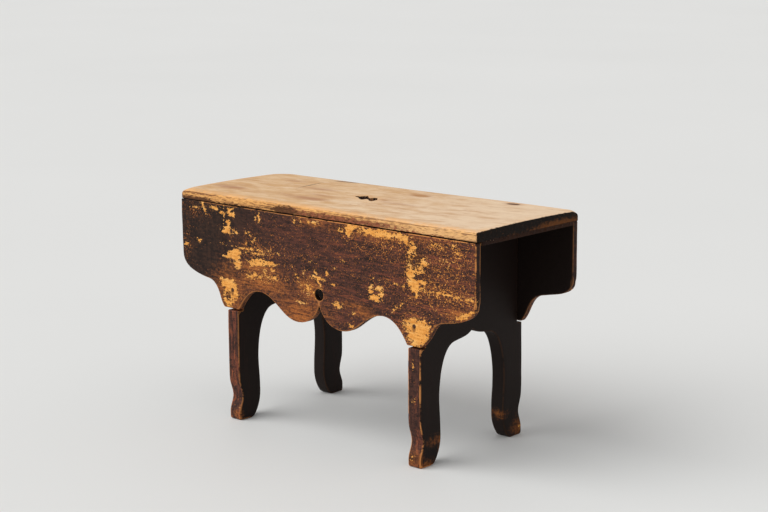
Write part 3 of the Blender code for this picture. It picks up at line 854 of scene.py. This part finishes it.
seat_loop = hand_sawn(seat_plan(), 73.0)
nibbles = np.array([0.5 + 0.5 * ripple(spot, SEAT_NIBBLE_LENGTH, 72.0) for spot in seat_loop])
seat_loop[:, 0] -= SEAT_RIGHT_NIBBLE * nibbles * (seat_loop[:, 0] > seat_high.x - 2 * SEAT_RIGHT_NIBBLE)
on_long_edge = np.clip((np.abs(seat_loop[:, 1]) - apron_inner) / SEAT_LIP_RUN_OUT, 0.0, 1.0)
from_right = np.clip((seat_high.x - seat_loop[:, 0]) / SEAT_ARRIS_RUN_OUT, 0.0, 1.0)
from_left = np.clip((seat_loop[:, 0] - seat_low.x) / SEAT_ARRIS_RUN_OUT, 0.0, 1.0)
to_rear = np.clip(0.5 + seat_loop[:, 1] / seat_high.y / 2, 0.0, 1.0)
long_radii = SEAT_FRONT_ARRIS + (SEAT_REAR_ARRIS - SEAT_FRONT_ARRIS) * to_rear
end_radii = SEAT_RIGHT_ARRIS * (0.6 + 0.8 * nibbles)
end_radii += (SEAT_REAR_ARRIS - SEAT_RIGHT_ARRIS) * to_rear**REAR_CORNER_POWER
top_radii = end_radii + (long_radii - end_radii) * from_right
top_radii += (SEAT_LEFT_ARRIS - long_radii) * (1 - from_left)
top_radii *= [1 + SEAT_ARRIS_VARIES * ripple(spot, SEAT_ARRIS_LENGTH, 74.0) for spot in seat_loop]
edge_heights = np.array([seat_top(spot) for spot in seat_loop]) - SEAM_HEIGHT - 2 * SEAT_LIP_ARRIS
top_radii = np.minimum(top_radii, SEAT_ARRIS_SHARE * edge_heights)
lip_radii = SEAT_LIP_ARRIS * on_long_edge
rebated = seat_loop * (1.0, apron_inner / seat_high.y)
seat = Timber()
top_rings = seat.arris(seat_loop, top_radii, seat_top, 1)
lip_rings = seat.arris(seat_loop, lip_radii, seat_lip, -1)[::-1]
foot_rings = seat.arris(rebated, [SEAT_FOOT_ARRIS] * len(rebated), lambda spot: seat_low.z, -1)[::-1]
shoulder = seat.ring(rebated, [seat_lip(spot) for spot in rebated], REBATE_WIDTH)
edge_rings = seat.edge(seat_loop, top_rings[-1], lip_rings[0])
seat.skin(top_rings + edge_rings + lip_rings + [shoulder] + foot_rings)
mouth = seat.pocket(gash(), GASH_RIM, seat_top, GASH_DEPTH, 1)
seat.cover([top_rings[0], mouth], seat_top, SEAT_FACE_SPACING)
seat.cover([foot_rings[-1]], lambda spot: seat_low.z, 2 * SEAT_FACE_SPACING)
seat = seat.piece("seat_board_worn", SEAT_AXES)

PINE_TAN = srgb(210, 166, 118)
PINE_LIGHT = srgb(228, 193, 152)
PINE_PALE = srgb(238, 213, 184)
PINE_STREAK = srgb(194, 146, 100)
PINE_SMUDGE = srgb(170, 114, 80)
PINE_RIM = srgb(235, 176, 112)
EDGE_LIGHT = srgb(226, 168, 98)
EDGE_TAN = srgb(194, 136, 76)
EDGE_PALE = srgb(232, 184, 126)
EDGE_MOTTLE = srgb(102, 56, 28)
KNOT_BROWN = srgb(92, 54, 28)
SPOT_BROWN = srgb(186, 136, 88)
SCORE_GREY = srgb(104, 84, 74)
# Painted shade inside the dropped knot's hole and along the seam.
HOLE_AND_SEAM_SHADE = srgb(40, 22, 15)
TORN_FIBRE = srgb(158, 112, 76)
EDGE_DARK = srgb(64, 32, 19)
EDGE_BROWN = srgb(146, 82, 57)
# Black end paint, also laid on the underside as painted shade.
END_BLACK_AND_UNDER_SHADE = srgb(26, 19, 15)
END_BROWN = srgb(112, 66, 30)
PINE_SHEEN = 0.12
PINE_RELIEF = 0.0007
SEAT_LEVEL = 332.0
SEAT_THROUGH = 40.0
# Marks on the upper face: along, across, half length and half width in millimetres.
SEAT_SMUDGES = [
    (-72, -56, 42, 14), (-225, -56, 36, 12), (-192, 44, 26, 8), (60, -14, 40, 5), (-60, -30, 30, 6),
    (-110, 10, 34, 9),
]
SEAT_KNOTS = [(182, 91, 11, 8), (-142, 91, 6, 2.5)]
SEAT_SPOTS = [(40, 60, 15, 10), (27, -4, 8, 4)]
# The arched grain below the hole, given the same way, and its lean.
SEAT_ARCH = (52, -37, 46, 15)
SEAT_ARCH_LEAN = math.radians(-29)
# The score across the grain at the left, and the grey stain behind it: two ends and a half width each.
SEAT_SCORES = [((-143, -4), (-154, 62), 1.6), ((-160, 85), (-104, 97), 3.8)]
SEAT_GRAIN_LEAN = math.radians(-11)
# Paint left on the edges, where the right end is rubbed, and the torn hole with the strip of wood
# across it: middle and half sizes in millimetres.
SEAT_PAINT = [
    ((30, -109, 320.5), (118, 9, 4.6)), ((-62, -109, 321.5), (25, 9, 7)), ((-150, -109, 316), (58, 9, 3.6)),
    ((-250, -109, 317.6), (50, 9, 5.2)), ((-281, 0, 316), (6, 130, 9)), ((215, -109, 316.5), (62, 9, 2.6)),
    ((-272, -109, 316), (26, 16, 5)), ((0, 109, 320), (290, 9, 7)),
]
END_RUB = [((281, 62, 317), (6, 60, 8)), ((281, -30, 314), (6, 50, 4))]
GASH_INSIDE = [((-1, -6, 330), (36, 22, 60))]
GASH_BRIDGE = [((1.5, -7, 330), (2.6, 15, 60))]

pine = Finish("worn_pine")


def on_top(spots):
    """Patches on the upper face."""
    return [((x, y, SEAT_LEVEL), (along, across, SEAT_THROUGH)) for x, y, along, across in spots]


wavy = pine.ragged((70, 26, 60), (0, 14, 4), 81)
wavy = wavy.turned((0.0, 0.0, 0.0), SEAT_GRAIN_LEAN, "Z")
grain = pine.cloud((44, 3, 3), 82, 4, wavy)
broad = pine.cloud((64, 17, 20), 83, 4, wavy)
fine = pine.cloud((12, 1.3, 1.3), 84, 2, wavy)
dashes = pine.cloud((15, 1.7, 8), 75, 3, wavy)
mottle = pine.cloud((32, 18, 30), 85, 5)
flake = pine.cloud((8, 5, 2.2), 86, 4)
scuff = pine.cloud((30, 7, 20), 80, 3, wavy)
along = pine.along
smudge_place = pine.ragged((50, 18, 50), (60, 16, 0), 87)
smudge = (inside(smudge_place, on_top(SEAT_SMUDGES)) + (grain - 0.5) * 16).rise(-4, 10)
arch_middle = (*SEAT_ARCH[:2], SEAT_LEVEL)
arched = pine.ragged(16, (8, 4, 0), 74).turned(arch_middle, SEAT_ARCH_LEAN, "Z")
arch = inside(arched, on_top([SEAT_ARCH]))
arch_lines = arch.maths("SINE", arch * 1.7).rise(0.1, 0.9) * arch.rise(-1, 1)
ragged = pine.ragged(9, (6, 4, 0), 88)
around = inside(ragged, on_top(SEAT_SPOTS + SEAT_KNOTS)) + (grain - 0.5) * 14.0
spots = inside(ragged, on_top(SEAT_SPOTS)) + (fine - 0.5) * 6.0 + (grain - 0.5) * 6.0
knots = inside(ragged, on_top(SEAT_KNOTS)) + (fine - 0.5) * 4.0
colour = pine.layered(
    PINE_TAN,
    ((grain * 0.35 + mottle * 0.65).rise(0.36, 0.62), PINE_LIGHT),
    ((along + (mottle - 0.5) * 320).rise(-120, 280) * 0.7, PINE_PALE),
    (broad.rise(0.46, 0.34) * 0.5, PINE_STREAK),
    ((grain * 0.5 + fine * 0.5).rise(0.44, 0.34) * 0.5, PINE_STREAK),
    (scuff.rise(0.56, 0.70) * 0.5, PINE_PALE),
    (smudge * 0.68, PINE_SMUDGE),
    (dashes.rise(0.60, 0.70) * 0.4, PINE_SMUDGE),
    (arch_lines * along.rise(70, 20) * 0.22, PINE_SMUDGE),
    (around.rise(-8, 3) * 0.4, PINE_SMUDGE),
    (spots.rise(-2, 4), SPOT_BROWN),
    (knots.rise(-0.6, 2.4) * 0.92, KNOT_BROWN),
)
for start, end, half_width in SEAT_SCORES:
    middle = ((start[0] + end[0]) / 2, (start[1] + end[1]) / 2)
    lean = -math.atan2(end[1] - start[1], end[0] - start[0])
    laid = pine.ragged(14, (2.5, 2.5, 0), 79).turned((*middle, SEAT_LEVEL), lean, "Z")
    score = inside(laid, on_top([(*middle, math.dist(start, end) / 2, half_width)]))
    score = score + (fine - 0.5) * 1.2 * half_width + (grain - 0.5) * half_width
    colour = pine.blend(score.rise(-0.2 * half_width, 0.5 * half_width) * 0.85, colour, SCORE_GREY)
rim = pine.from_edge.rise(16, 0) * (mottle * 0.5 + flake * 0.5).rise(0.34, 0.56)
front = pine.across.rise(-70, -98)
rolled = pine.facing.axis("Z").rise(0.96, 0.55)
nicks = pine.cloud((7, 4, 1.8), 77, 4)
torn_lines = pine.cloud((110, 9, 1.1), 76, 3)
edge_lines = (nicks * 0.4 + torn_lines * 0.6 - along.rise(0, 160) * 0.03).rise(0.50, 0.42)
edge_lines = edge_lines * (along.rise(160, -60) * 0.2 + 0.75)
edge_wood = pine.layered(
    EDGE_TAN, (flake.rise(0.42, 0.58), EDGE_LIGHT),
    ((along + (flake - 0.5) * 160).rise(20, 220) * 0.6, EDGE_PALE), (edge_lines, EDGE_MOTTLE),
)
# Faces turned down: the underside and the lip over the seam, painted near-black as shade.
under_shade = pine.facing.axis("Z").rise(-0.3, -0.7)
ends = along.rise(250, 270) * (pine.facing.axis("X") + (nicks - 0.5) * 0.9).rise(0.35, 0.65)
ends = ends.most((along + (nicks - 0.5) * 14).rise(279.8, 280.6))
paint_place = pine.ragged((22, 14, 5), (30, 14, 4), 89)
paint_left = inside(paint_place, SEAT_PAINT) + (flake - 0.5) * 14.0 + (torn_lines - 0.5) * 8.0
steep = (pine.facing.axis("Z") - along.rise(-230, -270) * 0.12).rise(0.86, 0.62)
paint_left = paint_left.rise(-0.4, 0.8) * steep
dark_left = along.rise(-20, -70) * 0.18
brown = pine.blend((flake * 0.5 + fine * 0.5 - dark_left).rise(0.38, 0.60), EDGE_DARK, EDGE_BROWN)
end_rub = (inside(pine.ragged(12, (0, 14, 6), 90), END_RUB) + (flake - 0.5) * 9).rise(-2, 3)
dark = pine.blend((end_rub * 0.8).most(nicks.rise(0.60, 0.72) * 0.35), END_BLACK_AND_UNDER_SHADE, END_BROWN)
torn = inside(pine.place, GASH_INSIDE).rise(0, 1) * pine.up.rise(332.62, 332.4)
fibres = pine.cloud((2.4, 5, 6), 78, 2).rise(0.56, 0.70)
bridge = inside(pine.ragged(5, 4, 73), GASH_BRIDGE).rise(0, 1.5)
# Laid over the top: the worn rim, the rolled edge's wood, paint left on, black end paint with painted shade
# underneath, a band of painted shade just over the seam, and painted shade in the knot's hole with its torn
# fibres.
colour = pine.layered(
    colour, (rim * (front * 0.5 + 0.25), PINE_RIM), (rolled * (front * 0.6 + 0.3), edge_wood),
    (paint_left * 0.92, brown), (ends.most(under_shade), dark),
    (pine.up.rise(318.6, 318) * rolled * 0.9, HOLE_AND_SEAM_SHADE),
    (torn, pine.blend(fibres.most(bridge), HOLE_AND_SEAM_SHADE, TORN_FIBRE)),
)
roughness = 0.64 + (grain - 0.5) * 0.25 + ends * 0.12
height = grain * 0.45 + fine * 0.3 + flake * rolled * 0.7
pine.shader.inputs["Specular IOR Level"].default_value = PINE_SHEEN
seat.data.materials.append(pine.coat(colour, roughness, height, PINE_RELIEF))
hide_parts("seat_board")
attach(seat, "root")


# Nails: hand-headed iron nails, three to a joint, driven through the aprons and down through the seat.
# Their heads are hammered just below the wood and dark with rust.
NAIL_TURNS = np.linspace(0.0, 2 * math.pi, 14, endpoint=False)
NAIL_HEAD_RADIUS = 0.0028
NAIL_SHANK_RADIUS = 0.0014
NAIL_HEAD_THICKNESS = 0.0012
NAIL_POINT_LENGTH = 0.007
NAIL_HAMMERED = 0.12
SEAT_NAIL_SUNK = 0.0009
IRON_METAL = 0.55
IRON_RELIEF = 0.0002
RUST_DARK = srgb(48, 38, 34)
RUST_RED = srgb(104, 58, 36)

iron = Finish("nail_iron")
scale = iron.cloud(1.2, 91, 3)
pits = iron.cloud(0.5, 92, 2)
iron.shader.inputs["Metallic"].default_value = IRON_METAL
rust = iron.blend(scale.rise(0.42, 0.62), RUST_DARK, RUST_RED)
iron.coat(rust, 0.5 + pits * 0.3, scale * 0.6 + pits * 0.4, IRON_RELIEF)


def nail_shape(name, length, seed):
    """A nail that hangs from its hammered head at zero height."""
    head, shank = NAIL_HEAD_RADIUS, NAIL_SHANK_RADIUS
    profile = [
        (0.0, 0.0), (head * 0.45, 0.0), (head * 0.8, -0.0002), (head, -0.0005),
        (head, -NAIL_HEAD_THICKNESS), (shank, -NAIL_HEAD_THICKNESS),
        (shank, NAIL_POINT_LENGTH - length), (0.0, -length),
    ]
    loop = arc((0.0, 0.0), 1.0, NAIL_TURNS)
    loop = loop * [[1 + NAIL_HAMMERED * ripple(spot, 1.0, seed)] for spot in loop]
    nail = Timber()
    nail.skin([nail.ring(loop * radius, [height] * len(loop), 0.0) for radius, height in profile])
    return nail.piece(name, SEAT_AXES)


for number, nail_name in enumerate(sorted(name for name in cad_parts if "_nail_" in name)):
    nail_low, nail_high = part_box(nail_name)
    middle = (nail_low + nail_high) / 2
    if nail_name.startswith("seat"):
        head_at, turn = Vector((middle.x, middle.y, nail_high.z - SEAT_NAIL_SUNK)), Matrix.Identity(4)
        length = head_at.z - nail_low.z
    else:
        facing = -1 if nail_name.startswith("front") else 1
        length = nail_high.y - nail_low.y
        head_at = Vector((middle.x, facing * max(abs(nail_low.y), abs(nail_high.y)), middle.z))
        turn = Matrix.Rotation(-facing * math.pi / 2, 4, "X")
    nail = nail_shape(nail_name + "_iron", length, 3.7 * number)
    nail.data.transform(Matrix.Translation(head_at) @ turn)
    nail.data.materials.append(iron.material)
    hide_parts(nail_name)
    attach(nail, "root")


# Floor and light: a plain pale floor that runs back out of sight, under an even white sky. One broad
# soft lamp stands high at the front left.
FLOOR_REACH = 60.0
FLOOR_CORNERS = ((-1, -1), (1, -1), (1, 1), (-1, 1))
FLOOR_PALE = srgb(229, 229, 227)
FLOOR_SCUFFED = srgb(232, 232, 230)
FLOOR_RELIEF = 0.0001
SKY_STRENGTH = 0.50
LAMP_STRENGTH = 2.17
LAMP_SPREAD = math.radians(60)
LAMP_HEIGHT = math.radians(43)
LAMP_TURN = math.radians(-32)

floor_mesh = bpy.data.meshes.new("floor")
floor_points = [(x * FLOOR_REACH, y * FLOOR_REACH, 0.0) for x, y in FLOOR_CORNERS]
floor_mesh.from_pydata(floor_points, [], [(0, 1, 2, 3)])
floor = bpy.data.objects.new("floor", floor_mesh)
scene.collection.objects.link(floor)
pale = Finish("pale_floor")
scuff = pale.cloud(900, 95, 2)
pale.coat(pale.blend(scuff, FLOOR_PALE, FLOOR_SCUFFED), 0.6 + scuff * 0.1, scuff, FLOOR_RELIEF)
floor.data.materials.append(pale.material)

world = bpy.data.worlds.new("soft_sky")
world.use_nodes = True
sky = world.node_tree.nodes["Background"]
sky.inputs["Color"].default_value = (1.0, 1.0, 1.0, 1.0)
sky.inputs["Strength"].default_value = SKY_STRENGTH
scene.world = world


def toward(turn, height):
    """Unit direction at a turn from the front and a height above level."""
    level = math.cos(height)
    return Vector((math.sin(turn) * level, -math.cos(turn) * level, math.sin(height)))


lamp_data = bpy.data.lights.new("broad_lamp", "SUN")
lamp_data.energy = LAMP_STRENGTH
lamp_data.angle = LAMP_SPREAD
lamp = bpy.data.objects.new("broad_lamp", lamp_data)
lamp.rotation_mode = "QUATERNION"
lamp.rotation_quaternion = toward(LAMP_TURN, LAMP_HEIGHT).to_track_quat("Z", "Y")
scene.collection.objects.link(lamp)
scene.view_settings.view_transform = "Standard"


# Camera: two and a half metres off at the front right, looking a little down on the seat. Its long
# lens keeps the boards' edges nearly parallel.
CAMERA_LENS = 81.97
CAMERA_SENSOR = 36.0
CAMERA_DISTANCE = 2.4623
CAMERA_TURN = math.radians(42.275)
CAMERA_HEIGHT = math.radians(11.142)
CAMERA_ROLL = math.radians(-0.4135)
CAMERA_AIM = Vector((0.0213, 0.0022, 0.2517))

camera_data = bpy.data.cameras.new("front_right")
camera_data.lens = CAMERA_LENS
camera_data.sensor_width = CAMERA_SENSOR
camera = bpy.data.objects.new("front_right", camera_data)
back = toward(CAMERA_TURN, CAMERA_HEIGHT)
right = Vector((math.cos(CAMERA_TURN), math.sin(CAMERA_TURN), 0.0))
axes = Matrix((right, back.cross(right), back)).transposed() @ Matrix.Rotation(CAMERA_ROLL, 3, "Z")
camera.matrix_world = Matrix.Translation(CAMERA_AIM + back * CAMERA_DISTANCE) @ axes.to_4x4()
scene.collection.objects.link(camera)
scene.camera = camera
